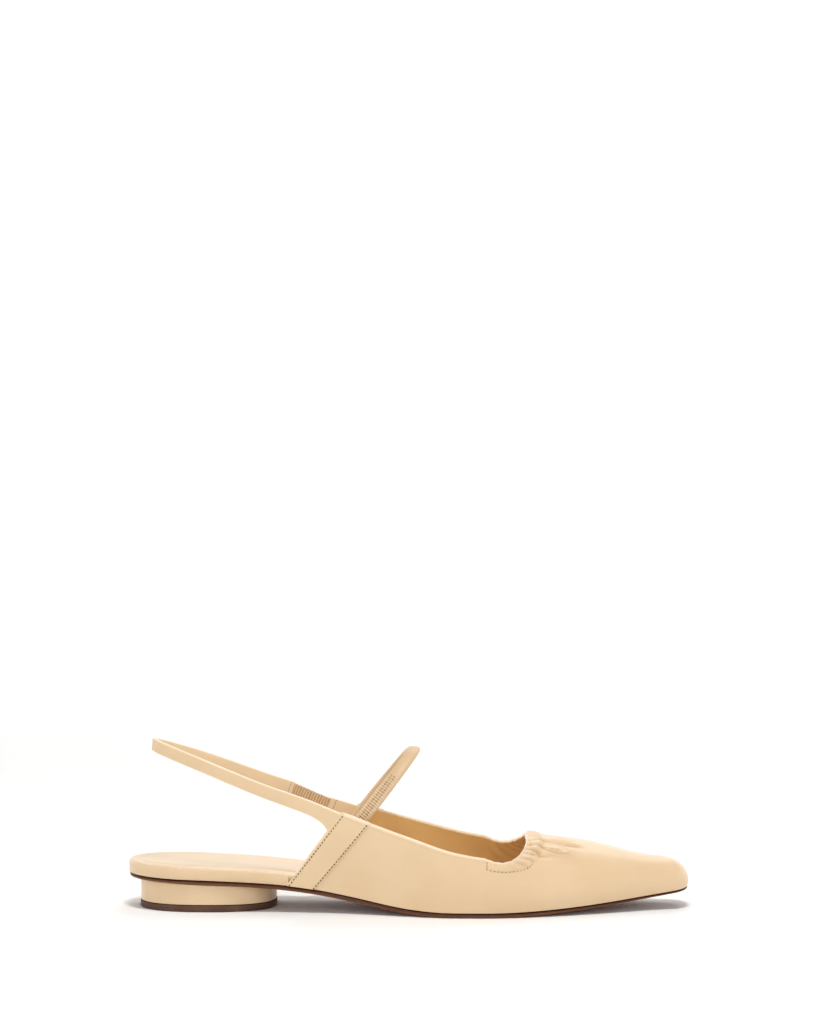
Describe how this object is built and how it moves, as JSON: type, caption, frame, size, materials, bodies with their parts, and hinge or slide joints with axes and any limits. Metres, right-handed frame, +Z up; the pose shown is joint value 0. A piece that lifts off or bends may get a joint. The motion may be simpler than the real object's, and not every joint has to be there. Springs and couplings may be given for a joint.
{
  "type": "sling back flat",
  "caption": "Women's low-heeled flat with a softly squared toe, gathered throat, narrow instep strap and a sling strap round the heel.",
  "frame": {"origin": "on the ground under the middle of the shoe's bounding box", "axes": "+X towards the toe, +Y towards the inner (medial) side of the right foot, +Z up"},
  "size_m": [0.2658, 0.0772, 0.0796],
  "materials": {
    "upper_leather": "smooth butter tan nappa with a soft gloss",
    "lining_leather": "matt tan lining and insole sock",
    "sole_leather": "stained brown sole leather, satin",
    "heel_rubber": "dark brown, matt",
    "covered_elastic": "shirred leather over elastic, matt"
  },
  "bodies": {
    "root": {"outsole": "sole_leather", "heel_block": "upper_leather", "top_piece": "heel_rubber", "footbed": "lining_leather", "upper": "upper_leather", "sling_strap": "upper_leather", "sling_elastic": "covered_elastic", "sling_tab": "upper_leather", "instep_strap": "upper_leather"}
  },
  "joints": []
}
